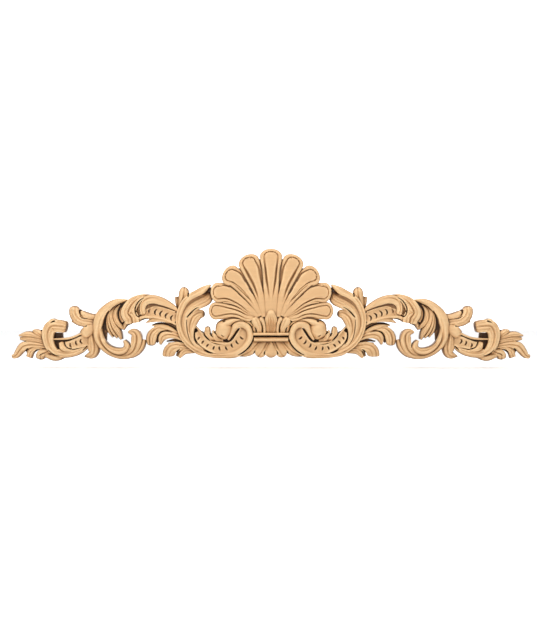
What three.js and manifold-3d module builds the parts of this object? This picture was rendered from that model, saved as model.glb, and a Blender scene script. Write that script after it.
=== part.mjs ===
import * as THREE from 'three';
import { mergeVertices } from 'three/addons/utils/BufferGeometryUtils.js';
import Module from 'manifold-3d';

const wasm = await Module();
wasm.setup();

// Overall sizes in millimetres
const length = 910;
const height = 196;
const depth = 34;

// Where the origin lies, above the lowest point of the carving
const originHeight = 70;

// Thickness of the low ground left between the carved parts
const groundThickness = 8;

// The shell's raised rim and how far its hollows are cut, as a share of the crest
const rimWidth = 6.5;
const rimDrop = 0.32;

// The guide lines and crests below are drawn for a carving this deep, and fitted to the sizes above
const drawnDepth = 34;

// Each stroke follows a guide line of [distance from the middle, height above the bottom].
// Its widths and crest heights are spread evenly along the line. The form names its section.
// Strokes with mirrored false lie on the middle line and are carved once.
const ground = [
  { line: [[0, 30], [0, 150]], width: [56, 110, 150, 100], mirrored: false },
  { line: [[44, 118], [70, 108], [94, 100]], width: [20, 24, 14] },
  { line: [[38, 64], [58, 69], [84, 68]], width: [14, 12, 16] },
  { line: [[58, 58], [62, 34], [84, 27], [108, 28], [134, 42], [150, 66], [149, 108]],
    width: [44, 44, 38, 34, 30, 28, 10] },
  { line: [[90, 50], [104, 40]], width: [14, 16] },
  { line: [[106, 113], [130, 106], [146, 90]], width: [12, 26, 20] },
  { line: [[152, 60], [190, 80], [235, 86], [262, 82], [288, 72]], width: [30, 41, 42, 38, 38] },
  { line: [[283, 47], [294, 72]], width: [18, 16] },
  { line: [[200, 45], [204, 32]], width: [12, 12] },
  { line: [[266, 13], [246, 21], [240, 45]], width: [16, 24, 14] },
  { line: [[308, 44], [345, 30], [384, 30], [406, 38]], width: [30, 22, 40, 20] },
];

const shell = [
  { line: [[0, 72], [0, 195]], width: [20, 24, 29, 34, 37, 38], crest: [24, 29, 31, 32, 33, 33],
    form: 'rim',
    ends: [0, 13], fade: [0, 0.5, 1, 1, 1], mirrored: false },
  { line: [[7, 74], [14, 105], [27, 150], [44, 184.5]], width: [12, 20, 29, 35, 37],
    crest: [25, 29, 31, 32, 32],
    form: 'rim', ends: [0, 14], fade: [0, 0.5, 1, 1, 1] },
  { line: [[13, 76], [30, 108], [51, 134], [82.5, 157]], width: [12, 19, 28, 35, 38],
    crest: [25, 28, 30, 31, 31],
    form: 'rim', ends: [0, 15], fade: [0, 0.5, 1, 1, 1] },
  { line: [[19, 76], [44, 98], [70, 114], [106, 121]], width: [12, 19, 25, 32, 34],
    crest: [25, 27, 29, 30, 30],
    form: 'rim', ends: [0, 13], fade: [0, 0.5, 1, 1, 1] },
  { line: [[24, 74], [50, 81], [78, 88], [108, 89.5]], width: [12, 17, 22, 30, 32],
    crest: [25, 27, 28, 29, 29],
    form: 'rim', ends: [0, 13], fade: [0, 0.5, 1, 1, 1] },
];

const shellFoot = [
  { line: [[0, 66], [0, 108]], width: [50, 64, 40, 24], crest: [30, 32, 30, 27], ends: [8, 16],
    mirrored: false },
  { line: [[34, 68], [52, 74], [70, 76], [92, 72]], width: [7, 9, 9, 6], crest: [20, 22, 22, 21] },
  { line: [[85, 72], [82, 55], [81, 38]], width: [27, 34, 29], crest: [27, 32, 28], crown: 0.35,
    ends: [12, 13] },
];

const clasp = [
  { line: [[0, 48], [0, 92]], width: [14, 18, 18, 12], crest: [31, 33, 34, 33], form: 'flutes', flutes: 1,
    cut: 0.1, crown: 0.1, ends: [0, 9], mirrored: false },
  { line: [[17, 48], [17, 62], [26, 79]], width: [16, 17, 15], crest: [29, 31, 30], form: 'flutes',
    flutes: 2,
    cut: 0.2, ends: [0, 5] },
  { line: [[-31, 47.5], [31, 47.5]], width: [7], crest: [28], mirrored: false },
  { line: [[-30, 38.5], [30, 38.5]], width: [8], crest: [24], mirrored: false },
  { line: [[0, 40], [0, 7]], width: [26, 23, 19], crest: [17, 20, 21], form: 'flutes', flutes: 2,
    cut: 0.25, ends: [0, 11], mirrored: false },
  { line: [[10, 40], [17, 25], [24, 9]], width: [18, 20, 16], crest: [16, 19, 20], form: 'flutes',
    flutes: 1,
    cut: 0.25, ends: [0, 8] },
  { line: [[20, 36], [31, 23], [43, 14.5], [58, 10]], width: [18, 17, 14, 8], crest: [16, 18, 19, 17],
    form: 'flutes', flutes: 1, cut: 0.25, ends: [0, 7] },
];

const innerScroll = [
  { line: [[76, 41], [69, 54], [60, 63], [47, 62], [37, 52], [37, 36], [48, 21.5], [66, 12.5], [88, 10.5],
      [108, 12.5], [126, 17.5], [142, 28]], width: [10, 11, 12, 12, 13, 12, 12, 11, 9, 10, 11, 10],
    crest: [24, 25, 26, 27, 27, 27, 27, 26, 25, 24, 22, 18], crown: 0.15, ends: [6, 0] },
  { line: [[49, 55], [50, 42], [58, 32], [70, 25.5], [85, 22.5], [100, 23], [113, 28], [124, 37.5],
    [131, 50]],
    width: [11, 12, 13, 13, 14, 14, 14, 13, 8], crest: [22, 22, 21, 20, 20, 20, 19, 18, 16],
    form: 'hollow',
    cut: 0.4 },
  { line: [[119, 46], [111, 49], [103, 54.5]], width: [10, 9, 5], crest: [18, 20, 18], ends: [0, 6] },
  { line: [[88, 33], [102, 37], [109, 45], [111, 62]], width: [8, 10, 10, 11], crest: [16, 19, 20, 19],
    ends: [0, 6] },
  { line: [[80, 37], [96, 35], [112, 40], [121, 52]], width: [8, 10, 10, 6], crest: [15, 17, 17, 15] },
];

const bigLeaf = [
  { line: [[163, 40], [162.5, 70], [159, 100]], width: [15, 14, 10], crest: [21, 23, 23], form: 'flutes',
    flutes: 1, cut: 0.15 },
  { line: [[159, 68], [154, 91], [139, 107.5], [121, 117.5], [106, 133]], width: [14, 18, 22, 18, 8],
    crest: [22, 26, 28, 29, 25], form: 'flutes', flutes: 2, cut: 0.25, crown: 0.25, ends: [0, 8] },
  { line: [[152, 72], [144, 89], [128, 100], [113, 107], [105, 114]], width: [12, 16, 19, 19, 11],
    crest: [21, 24, 26, 25, 21], form: 'flutes', flutes: 2, cut: 0.25, crown: 0.25, ends: [0, 7] },
  { line: [[117, 83.5], [126, 81.5], [134, 73], [138, 60], [139, 46], [135, 32], [124, 21], [108, 13]],
    width: [12, 18, 21, 20, 17, 13, 10, 4], crest: [19, 21, 22, 22, 21, 19, 17, 14], form: 'flutes',
    flutes: 2,
    cut: 0.2, ends: [5, 0] },
  { line: [[157, 90], [154, 108], [152, 130]], width: [12, 17, 16], crest: [18, 20, 22], form: 'flutes',
    flutes: 2, cut: 0.22, ends: [0, 9] },
  { line: [[161, 92], [164, 103], [168.5, 112]], width: [9, 9, 5], crest: [17, 17, 15], ends: [0, 5] },
];

const sprays = [
  { line: [[155, 48], [175, 55.5], [190, 60], [209, 63]], width: [8, 10, 10, 2], crest: [15, 16, 15, 12],
    form: 'flutes', flutes: 1, cut: 0.2 },
  { line: [[160, 45], [188, 54], [203, 50.5], [211, 40], [213, 27]], width: [8, 12, 14, 16, 14],
    crest: [16, 17, 18, 19, 19], form: 'flutes', flutes: 1, cut: 0.22, ends: [0, 7] },
  { line: [[156, 42], [175, 45.5], [188, 45], [194, 38], [194, 28.5]], width: [9, 13, 15, 15, 11],
    crest: [15, 17, 17, 17, 15], form: 'flutes', flutes: 1, cut: 0.22, ends: [0, 6] },
  { line: [[144, 32], [160, 34], [181, 33.5]], width: [12, 13, 4], crest: [14, 15, 12], form: 'flutes',
    flutes: 1, cut: 0.2 },
  { line: [[143, 27], [160, 25], [174, 19], [183, 8.5]], width: [10, 15, 19, 21], crest: [14, 15, 16, 16],
    form: 'flutes', flutes: 1, cut: 0.22, ends: [0, 5] },
  { line: [[134, 20], [149, 18.5], [160, 9.5]], width: [10, 13, 12], crest: [15, 16, 14], form: 'flutes',
    flutes: 1, cut: 0.22, ends: [0, 5] },
];

const beamScroll = [
  { line: [[163, 85], [180, 97], [196, 105.5], [212, 108.5], [224, 104], [230, 95], [228, 87], [222, 83.5]],
    width: [9, 14, 16, 16, 13, 10, 9, 7], crest: [23, 24, 25, 25, 25, 24, 23, 22], form: 'flutes',
    flutes: 2,
    cut: 0.12, ends: [0, 4] },
  { line: [[165, 72], [180, 80], [195, 85.5], [210, 89], [224, 88]], width: [18, 19, 20, 18, 14],
    crest: [19, 19, 19, 19, 18], form: 'hollow', cut: 0.45 },
  { line: [[160, 58], [178, 68], [192, 72.5], [206, 74.5], [218, 75], [232, 74]],
    width: [8, 7, 7, 7, 7, 8],
    crest: [22] },
  { line: [[213, 114.5], [230, 108], [241, 97], [244.5, 84], [241.5, 72], [240, 64]],
    width: [4, 13, 20, 25, 26, 22],
    crest: [24, 28, 30, 30, 28, 25], form: 'flutes', flutes: 3, cut: 0.2, ends: [0, 5] },
  { line: [[258, 103], [271, 90], [271, 76], [266, 64], [256, 55]], width: [8, 11, 13, 14, 9],
    crest: [13, 15, 16, 16, 14], form: 'flutes', flutes: 1, cut: 0.2, ends: [0, 5] },
  { line: [[266, 103], [277, 88], [278, 72], [272, 55], [261, 36.5]], width: [8, 9, 11, 12, 9],
    crest: [15, 17, 18, 18, 15], crown: 0.35, ends: [0, 5] },
  { line: [[272, 102], [283, 86], [285, 70], [282.5, 55], [277, 40.5]], width: [7, 8, 9, 11, 9],
    crest: [16, 18, 19, 19, 16], crown: 0.35, ends: [0, 5] },
];

const ring = [
  { line: [[251, 106], [270, 103.5], [287, 95], [299, 79], [303, 60], [300, 43], [291, 28], [278, 17],
    [263, 12.5], [247, 14]], width: [3, 7, 12, 15, 16, 16, 16.5, 17, 17, 18],
    crest: [22, 24, 25, 26, 26, 26, 26, 26, 25, 24], form: 'flutes', flutes: 1, cut: 0.18 },
  { line: [[278, 17.5], [263, 17], [253, 21.5], [251, 29.5], [255, 38]], width: [10, 11, 11, 10, 9],
    crest: [24, 26, 26, 25, 23], crown: 0.25, ends: [0, 5] },
  { line: [[262, 10], [246, 13], [235, 22], [232.5, 34], [235, 46], [241.5, 53], [250.5, 51]],
    width: [8, 13, 16, 16, 14, 11, 8], crest: [23, 24, 25, 25, 25, 25, 23], form: 'flutes', flutes: 1,
    cut: 0.18, ends: [0, 4] },
  { line: [[250, 8], [237, 13], [228, 23], [224.5, 38]], width: [6, 10, 12, 9],
    crest: [19, 20, 20, 18], ends: [0, 5] },
];

const sideLeaves = [
  { line: [[300, 48], [316, 50.5], [328, 47], [331, 39]], width: [12, 16, 15, 11],
    crest: [20, 23, 25, 23],
    crown: 0.3, ends: [0, 6] },
  { line: [[306, 61], [322, 69], [336, 75.5], [345.5, 85], [348.5, 98]], width: [14, 18, 19, 18, 13],
    crest: [18, 21, 22, 22, 20], form: 'flutes', flutes: 2, cut: 0.25, ends: [0, 8] },
  { line: [[303, 77], [318, 80], [328, 85.5], [335, 92]], width: [11, 12, 11, 7],
    crest: [17, 18, 17, 15], ends: [0, 4] },
  { line: [[306, 56], [325, 62.5], [338, 66], [352, 69]], width: [12, 12, 11, 6], crest: [20, 22, 22, 19],
    form: 'flutes', flutes: 1, cut: 0.22, ends: [0, 6] },
  { line: [[313, 54], [308, 36], [307.5, 20.5], [316, 10.5], [330, 7]], width: [13, 18, 23, 15, 3],
    crest: [20, 21, 21, 20, 17], form: 'flutes', flutes: 2, cut: 0.22 },
];

const outerScroll = [
  { line: [[328, 48], [345, 41.5], [362, 38.5], [383, 38]], width: [7, 6, 5, 4],
    crest: [22, 21, 20, 17] },
  { line: [[318, 34], [335, 31.5], [350, 29.5], [366, 30.5]], width: [13, 15, 15, 13],
    crest: [18, 18, 18, 17],
    form: 'hollow', cut: 0.45 },
  { line: [[320, 30], [328, 22.5], [338, 16.5], [350, 13.5], [364, 14]], width: [7, 10, 12, 13, 10],
    crest: [22, 23, 23, 23, 20], form: 'flutes', flutes: 1, cut: 0.15 },
  { line: [[349, 17], [361, 18.5], [367.5, 25.5], [366.5, 34]], width: [6, 7, 7, 6],
    crest: [22, 23, 23, 21],
    ends: [0, 3] },
  { line: [[345, 9], [365, 10.5], [381, 19], [390, 32], [390.5, 46], [384, 57.5], [371, 60.5], [356, 55]],
    width: [6, 11, 17, 21, 24, 25, 24, 16], crest: [20, 22, 23, 24, 25, 26, 26, 23], form: 'flutes',
    flutes: 2,
    cut: 0.2, ends: [0, 7] },
];

const endSpray = [
  { line: [[392, 32], [404, 45], [411, 51], [418, 57.5]], width: [10, 13, 13, 8], crest: [14, 16, 16, 14],
    form: 'flutes', flutes: 1, cut: 0.2, ends: [0, 4] },
  { line: [[390, 32], [410, 40], [425, 43.5], [444, 44.5]], width: [12, 18, 16, 4],
    crest: [15, 17, 17, 13],
    form: 'flutes', flutes: 1, cut: 0.22 },
  { line: [[388, 26], [410, 30], [428, 28], [438, 17.5], [444.5, 9.5], [457, 8]],
    width: [10, 17, 20, 19, 12, 4],
    crest: [15, 17, 18, 17, 15, 12], form: 'flutes', flutes: 1, cut: 0.22 },
  { line: [[400, 26], [416, 20.5], [423, 14], [424, 6]], width: [8, 10, 9, 7], crest: [14, 15, 15, 13],
    form: 'flutes', flutes: 1, cut: 0.2, ends: [0, 3] },
  { line: [[390, 21], [400, 17.5], [404, 11], [402, 3]], width: [9, 15, 19, 16], crest: [14, 16, 17, 16],
    form: 'flutes', flutes: 1, cut: 0.2, ends: [0, 6] },
  { line: [[360, 6.5], [376, 5], [394, 12]], width: [6, 8, 10], crest: [17, 18, 16], ends: [0, 4] },
];

// A smooth value at share t of a list of evenly spaced values
function valueAlong(values, t) {
  if (values.length === 1) {
    return values[0];
  }
  const spot = Math.min(Math.max(t, 0), 1) * (values.length - 1);
  const i = Math.min(Math.floor(spot), values.length - 2);
  const f = spot - i;
  const before = i > 0 ? values[i - 1] : 2 * values[0] - values[1];
  const after = i + 2 < values.length ? values[i + 2] : 2 * values[i + 1] - values[i];
  const [a, b] = [values[i], values[i + 1]];
  const bend = 2 * before - 5 * a + 4 * b - after + f * (3 * (a - b) + after - before);
  return a + 0.5 * f * (b - before + f * bend);
}

// The section of a stroke: pairs of place across it from -1 to 1 and height as a share of the crest
function sectionOf(stroke, width, fade) {
  const crown = stroke.crown ?? 0.2;
  if (!stroke.form) {
    return [-1, 0, 1].map((u) => [u, 1 - crown * u * u]);
  }
  if (stroke.form === 'flat') {
    return [[-1, 1], [1, 1]];
  }
  if (stroke.form === 'hollow') {
    return [-1, 0, 1].map((u) => [u, 1 - stroke.cut * (1 - u * u)]);
  }
  if (stroke.form === 'rim') {
    const peak = Math.max(1 - 0.7 * rimWidth / width, 0.5);
    const low = 1 - rimDrop * fade;
    return [[-1, 0.9], [-peak, 1], [0, low], [peak, 1], [1, 0.9]];
  }
  const pairs = [];
  for (let i = 0; i <= 2 * stroke.flutes; i += 1) {
    const u = -1 + i / stroke.flutes;
    const dip = i % 2 === 1 ? stroke.cut : 0;
    pairs.push([u, 1 - crown * u * u - dip]);
  }
  return pairs;
}

// The shares of a stroke's length where its sections stand, closer together at a rounded end
function stationsOf(stroke, lineLength, steps) {
  const [startRound, endRound] = stroke.ends ?? [0, 0];
  const stations = [];
  const angles = [0.7, 1.25];
  for (let i = 0; i <= steps; i += 1) {
    const s = startRound + (lineLength - startRound - endRound) * i / steps;
    stations.push(Math.min(s / lineLength, 1));
  }
  if (startRound > 0) {
    stations.unshift(...angles.map((a) => startRound * (1 - Math.sin(a)) / lineLength).reverse());
  }
  if (endRound > 0) {
    stations.push(...angles.map((a) => 1 - endRound * (1 - Math.sin(a)) / lineLength));
  }
  return stations;
}

// How much narrower a stroke is near its rounded ends
function roundingAt(stroke, s, lineLength) {
  const [startRound, endRound] = stroke.ends ?? [0, 0];
  let narrowing = 1;
  if (endRound > 0 && s > lineLength - endRound) {
    narrowing *= Math.sqrt(1 - ((s - lineLength + endRound) / endRound) ** 2);
  }
  if (startRound > 0 && s < startRound) {
    narrowing *= Math.sqrt(1 - ((startRound - s) / startRound) ** 2);
  }
  return narrowing;
}

// A closed solid of one stroke, from behind the back plane to its carved face
function strokeSolid(stroke, side) {
  const guide = stroke.line.map(([x, z]) => new THREE.Vector3(x, 0, z));
  if (guide.length === 2) {
    guide.splice(1, 0, guide[0].clone().lerp(guide[1], 0.5));
  }
  const curve = new THREE.CatmullRomCurve3(guide, false, 'centripetal');
  const lineLength = curve.getLength();
  let turning = 0;
  for (let i = 1; i <= 20; i += 1) {
    turning += curve.getTangentAt((i - 1) / 20).angleTo(curve.getTangentAt(i / 20));
  }
  const steps = Math.max(2, Math.round(lineLength / 90 + turning / 0.52));
  const stations = stationsOf(stroke, lineLength, steps);
  const rows = stations.map((t) => {
    const centre = curve.getPointAt(t);
    const tangent = curve.getTangentAt(t);
    const before = curve.getTangentAt(Math.max(t - 0.02, 0));
    const after = curve.getTangentAt(Math.min(t + 0.02, 1));
    const turn = before.z * after.x - before.x * after.z;
    const bend = turn / (lineLength * (Math.min(t + 0.02, 1) - Math.max(t - 0.02, 0)));
    const width = valueAlong(stroke.width, t) * roundingAt(stroke, t * lineLength, lineLength);
    const crest = stroke.crest ? valueAlong(stroke.crest, t) * depth / drawnDepth : groundThickness;
    const fade = valueAlong(stroke.fade ?? [1], t);
    return sectionOf(stroke, width, fade).map(([u, share]) => {
      const limit = u * bend > 0 ? 0.9 / Math.abs(bend) : Infinity;
      const offset = Math.sign(u) * Math.min(Math.abs(u) * width / 2, limit);
      const x = centre.x + tangent.z * offset;
      const z = centre.z - tangent.x * offset;
      return new THREE.Vector3(x, -crest * share, z);
    });
  });
  const across = rows[0].length - 1;
  const along = rows.length - 1;
  const geometry = new THREE.BoxGeometry(across, 1, along, across, 1, along);
  const position = geometry.getAttribute('position');
  for (let i = 0; i < position.count; i += 1) {
    const column = Math.round(position.getX(i) + across / 2);
    const row = Math.round(position.getZ(i) + along / 2);
    const point = rows[row][column];
    const y = position.getY(i) < 0 ? point.y : 2;
    position.setXYZ(i, side * point.x, y, point.z);
  }
  return solidOf(geometry, side < 0);
}

// The closed mesh of a three.js geometry as a solid, turned right side out where it is mirrored
function solidOf(geometry, flipped) {
  geometry.deleteAttribute('normal');
  geometry.deleteAttribute('uv');
  const merged = mergeVertices(geometry, 1e-4);
  const triVerts = new Uint32Array(merged.index.array);
  if (flipped) {
    for (let i = 0; i < triVerts.length; i += 3) {
      [triVerts[i], triVerts[i + 1]] = [triVerts[i + 1], triVerts[i]];
    }
  }
  const vertProperties = new Float32Array(merged.getAttribute('position').array);
  return new wasm.Manifold(new wasm.Mesh({ numProp: 3, vertProperties, triVerts }));
}

// All strokes joined, then cut flat at the back
function carvedBoard() {
  const low = ground.map((stroke) => ({ ...stroke, form: 'flat' }));
  const strokes = [...low, ...shell, ...shellFoot, ...clasp, ...innerScroll, ...bigLeaf, ...sprays,
    ...beamScroll, ...ring, ...sideLeaves, ...outerScroll, ...endSpray];
  let board = null;
  for (const stroke of strokes) {
    const sides = stroke.mirrored === false ? [1] : [1, -1];
    for (const side of sides) {
      const solid = strokeSolid(stroke, side);
      board = board ? board.add(solid) : solid;
    }
  }
  const behind = new THREE.BoxGeometry(2 * length, 40, 4 * height);
  behind.translate(0, 20, 0);
  return board.subtract(solidOf(behind, false));
}

const carved = carvedBoard().getMesh();
const geometry = new THREE.BufferGeometry();
geometry.setAttribute('position', new THREE.BufferAttribute(new Float32Array(carved.vertProperties), 3));
geometry.setIndex(new THREE.BufferAttribute(new Uint32Array(carved.triVerts), 1));
geometry.computeBoundingBox();
const drawn = geometry.boundingBox.getSize(new THREE.Vector3());
geometry.translate(0, 0, -geometry.boundingBox.min.z);
geometry.scale(length / drawn.x, depth / drawn.y, height / drawn.z);
geometry.translate(0, 0, -originHeight);
geometry.computeVertexNormals();

const paleWood = new THREE.MeshStandardMaterial({ color: 0xe3bd8c, roughness: 0.6, metalness: 0 });
const headpiece = new THREE.Mesh(geometry, paleWood);
headpiece.name = 'carved_headpiece';

const group = new THREE.Group();
group.add(headpiece);

export default group;
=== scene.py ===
import bpy
import math
import numpy as np
from mathutils import Matrix, Vector


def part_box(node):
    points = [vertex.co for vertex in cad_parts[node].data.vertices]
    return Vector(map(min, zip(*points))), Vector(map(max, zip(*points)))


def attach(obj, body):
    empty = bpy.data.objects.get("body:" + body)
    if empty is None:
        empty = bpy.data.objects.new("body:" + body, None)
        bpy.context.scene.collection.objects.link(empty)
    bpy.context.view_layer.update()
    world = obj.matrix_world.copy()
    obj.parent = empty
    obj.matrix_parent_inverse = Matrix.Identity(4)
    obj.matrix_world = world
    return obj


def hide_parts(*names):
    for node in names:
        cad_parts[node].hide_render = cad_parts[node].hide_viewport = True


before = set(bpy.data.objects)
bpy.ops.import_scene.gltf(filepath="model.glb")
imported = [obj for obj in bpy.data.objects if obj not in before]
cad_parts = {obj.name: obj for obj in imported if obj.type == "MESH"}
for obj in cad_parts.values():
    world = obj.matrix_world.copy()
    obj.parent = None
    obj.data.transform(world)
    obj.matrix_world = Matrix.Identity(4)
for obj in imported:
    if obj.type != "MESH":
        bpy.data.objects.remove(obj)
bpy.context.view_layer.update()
mm = 0.001
# height of the origin above the bottom edge, in millimetres
originHeight = 70
print("frame loaded")

# how finely the strokes are meshed, in millimetres, and how long a row is beside that
fineness = 1.6
rowLength = 1.45
shortestRow = 0.25
# the surface never goes lower than this, and no stroke is thinner than this
lowestSurface = 1.5
thinnest = 0.6
# share of a bend's radius that the inner side of a stroke may fill
insideBend = 0.93
# veins are cut this much deeper and wider than their entries say
veinDepth = 1.5
veinReach = 1.6
# rims of the lobes are softened over this width, and the lobes sink this much toward their sides
lipWidth = 2.4
lobeDrop = 1.8
# planes behind the carving and in front of it, where joined blocks and cutters end, in metres
behind = 0.004
inFront = -0.05


def clearSelection():
    for ob in bpy.context.selected_objects:
        ob.select_set(False)


# smooth value, at each share of the way in t, of a list of evenly spaced values
def spread(values, t):
    v = np.array(values, float)
    if len(v) == 1:
        return np.full_like(t, v[0])
    x = np.clip(t, 0, 1) * (len(v) - 1)
    i = np.minimum(x.astype(int), len(v) - 2)
    f = x - i
    ends = np.concatenate([[2 * v[0] - v[1]], v, [2 * v[-1] - v[-2]]])
    a, b, c, d = ends[i], ends[i + 1], ends[i + 2], ends[i + 3]
    return b + 0.5 * f * (c - a + f * (2 * a - 5 * b + 4 * c - d + f * (3 * (b - c) + d - a)))


# dense points of a smooth line through the guide points, and the run along it
def guideLine(points):
    p = np.array(points, float)
    if len(p) == 2:
        p = np.array([p[0], p.mean(0), p[1]])
    ends = np.vstack([2 * p[0] - p[1], p, 2 * p[-1] - p[-2]])
    parts = []
    for i in range(1, len(ends) - 2):
        p0, p1, p2, p3 = ends[i - 1:i + 3]
        t1 = math.sqrt(np.linalg.norm(p1 - p0))
        t2 = t1 + math.sqrt(np.linalg.norm(p2 - p1))
        t3 = t2 + math.sqrt(np.linalg.norm(p3 - p2))
        t = np.linspace(t1, t2, 41)[:-1, None]
        a1 = p0 + (p1 - p0) * t / t1
        a2 = p1 + (p2 - p1) * (t - t1) / (t2 - t1)
        a3 = p2 + (p3 - p2) * (t - t2) / (t3 - t2)
        b1 = a1 + (a2 - a1) * t / t2
        b2 = a2 + (a3 - a2) * (t - t1) / (t3 - t1)
        parts.append(b1 + (b2 - b1) * (t - t1) / (t2 - t1))
    line = np.vstack(parts + [p[-1:]])
    run = np.concatenate([[0], np.cumsum(np.linalg.norm(np.diff(line, axis=0), axis=1))])
    return line, run


def pointAt(line, run, s):
    return np.stack([np.interp(s, run, line[:, 0]), np.interp(s, run, line[:, 1])], axis=-1)


# places across a stroke: every flute gets the same faces, every vein gets a place of its own
def acrossPlaces(stroke, widest):
    if stroke.get("form") == "flat":
        return np.array([-1.0, 1.0])
    count = stroke.get("flutes", 1)
    each = max(4 if count > 1 else 6, int(round(widest / count / fineness)))
    each += each % 2
    u = np.linspace(-1, 1, count * each + 1)
    for vein in stroke.get("veins", []):
        near = np.abs(u - vein[0])
        near[[0, -1]] = np.inf
        u[near.argmin()] = vein[0]
    return u


# how far the groove beside a rim has gone down, d millimetres from the edge
def grooveAt(d, start, end):
    middle = (start + end) / 2
    reach = np.maximum((end - start) / 2, 0.4)
    return np.clip(1.25 - np.abs(d - middle) / reach, 0, 1)


# height of the surface across a stroke, as a share of the crest; rim is the share of the way to the
# edge, d the distance from the edge and half the half width in millimetres
def sectionShape(stroke, u, rim, d, t, crest, half):
    form = stroke.get("form", "round")
    relief = spread(stroke.get("relief", [1]), t)
    if form == "flat":
        return np.ones_like(rim)
    if form == "hollow":
        return 1 - stroke["cut"] * (1 - np.abs(u) ** 2.6)
    if form == "lobe":
        band = spread(stroke["band"], t)
        left = spread(stroke["leftRim"], t)
        right = grooveAt(d, band, band + spread(stroke["groove"], t))
        inner = band * left + spread(stroke["leftGroove"], t)
        unrimmed = np.where(d < band, 1 - left, 0) * (d < inner)
        onLeft = np.maximum(grooveAt(d, band * left, inner), unrimmed)
        groove = np.where(u < 0, onLeft, right)
        lip = np.clip(1 - d / lipWidth, 0, 1) ** 2
        drop = stroke["cut"] * groove * relief + stroke["lip"] * lip * (0.25 + 0.75 * relief)
        return 1 - (drop + lobeDrop * np.abs(u) ** 2.2) / crest
    h = 1 - stroke.get("crown", 0.24) * rim ** 2.4
    if form == "flutes":
        n = stroke["flutes"]
        x = (u + 1) / 2 * n
        f = x - np.minimum(np.floor(x), n - 1)
        h = h - stroke["cut"] * relief * np.sin(np.minimum(f, 1 - f) * math.pi)
    for place, depth, reach in stroke.get("veins", []):
        off = np.minimum(np.abs(u - place) * half / (veinReach * reach), 1)
        h = h - veinDepth * depth / crest * relief * (0.5 + 0.5 * np.cos(math.pi * off))
    return h


# rows of surface points of one stroke, in millimetres
def strokeRows(stroke):
    line, run = guideLine(stroke["line"])
    total = run[-1]
    startRound, endRound = stroke.get("ends", (0, 0))
    count = max(4, int(total / stroke.get("step", rowLength * fineness)))
    s = np.linspace(0, total, count + 1)
    # more rows where an end is rounded
    extra = np.cos(np.linspace(0, math.pi / 2, 13 if stroke.get("form") == "lobe" else 8))[1:-1]
    if startRound:
        s = np.concatenate([s, startRound * (1 - extra)])
    if endRound:
        s = np.concatenate([s, total - endRound * (1 - extra)])
    s = np.unique(np.round(s, 3))
    s = s[np.concatenate([[True], np.diff(s) > shortestRow])]
    s[-1] = total
    t = s / total
    centre = pointAt(line, run, s)
    ahead = pointAt(line, run, np.minimum(s + 0.6, total))
    tangent = ahead - pointAt(line, run, np.maximum(s - 0.6, 0))
    tangent /= np.linalg.norm(tangent, axis=1)[:, None]
    full = np.maximum(spread(stroke["width"], t) + stroke.get("wider", 0), thinnest)
    crest = spread(stroke["crest"], t)
    # how far into a rounded end each row lies
    k = np.zeros_like(s)
    if endRound:
        k = np.clip((s - total + endRound) / endRound, 0, 1)
    if startRound:
        k = np.maximum(k, np.clip((startRound - s) / startRound, 0, 1))
    width = full * np.sqrt(np.maximum(1 - k * k, 0.003))
    crest = crest * (1 - stroke.get("sink", 0.04) * k * k)
    # the inner side of a bend keeps short of its centre
    angle = np.unwrap(np.arctan2(tangent[:, 1], tangent[:, 0]))
    bend = np.gradient(angle, s)
    limit = insideBend / np.maximum(np.abs(bend), 1e-6)
    right = np.where(bend < 0, np.minimum(width / 2, limit), width / 2)
    left = np.where(bend > 0, np.minimum(width / 2, limit), width / 2)
    u = acrossPlaces(stroke, width.max())[None, :]
    offset = np.where(u < 0, left[:, None] * u, right[:, None] * u)
    x = centre[:, :1] + tangent[:, 1:] * offset
    z = centre[:, 1:] - tangent[:, :1] * offset
    k = k[:, None]
    rim = np.sqrt(np.minimum(u * u * (1 - k * k) + k * k, 1))
    full, width, t, crest = full[:, None], width[:, None], t[:, None], crest[:, None]
    h = crest * sectionShape(stroke, u, rim, (1 - rim) * full / 2, t, crest, width / 2)
    return x, z, np.maximum(h, lowestSurface)


# a stroke as a closed block: a grid is laid out, bent onto the stroke and drawn out to a flat end
def strokeBlock(stroke, name, back=behind):
    x, z, h = strokeRows(stroke)
    rows, columns = x.shape
    clearSelection()
    bpy.ops.mesh.primitive_grid_add(x_subdivisions=columns - 1, y_subdivisions=rows - 1, size=1)
    ob = bpy.context.object
    ob.name = name
    co = np.empty((rows, columns, 3))
    co[..., 0] = x * mm
    co[..., 1] = -h * mm
    co[..., 2] = (z - originHeight) * mm
    ob.data.vertices.foreach_set("co", co.ravel())
    ob.data.update()
    bpy.ops.object.mode_set(mode="EDIT")
    bpy.ops.mesh.select_all(action="SELECT")
    away = 0.08 if back > 0 else -0.08
    bpy.ops.mesh.extrude_region_move(TRANSFORM_OT_translate={"value": (0, away, 0)})
    bpy.ops.transform.resize(value=(1, 0, 1), center_override=(0, back, 0))
    bpy.ops.mesh.select_all(action="SELECT")
    bpy.ops.mesh.normals_make_consistent(inside=False)
    bpy.ops.object.mode_set(mode="OBJECT")
    return ob


def applyBoolean(ob, other, operation):
    clearSelection()
    ob.select_set(True)
    bpy.context.view_layer.objects.active = ob
    cut = ob.modifiers.new(operation.lower(), "BOOLEAN")
    cut.operation = operation
    cut.solver = "MANIFOLD"
    cut.object = other
    bpy.ops.object.modifier_apply(modifier=cut.name)
    bpy.data.objects.remove(other, do_unlink=True)


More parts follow.
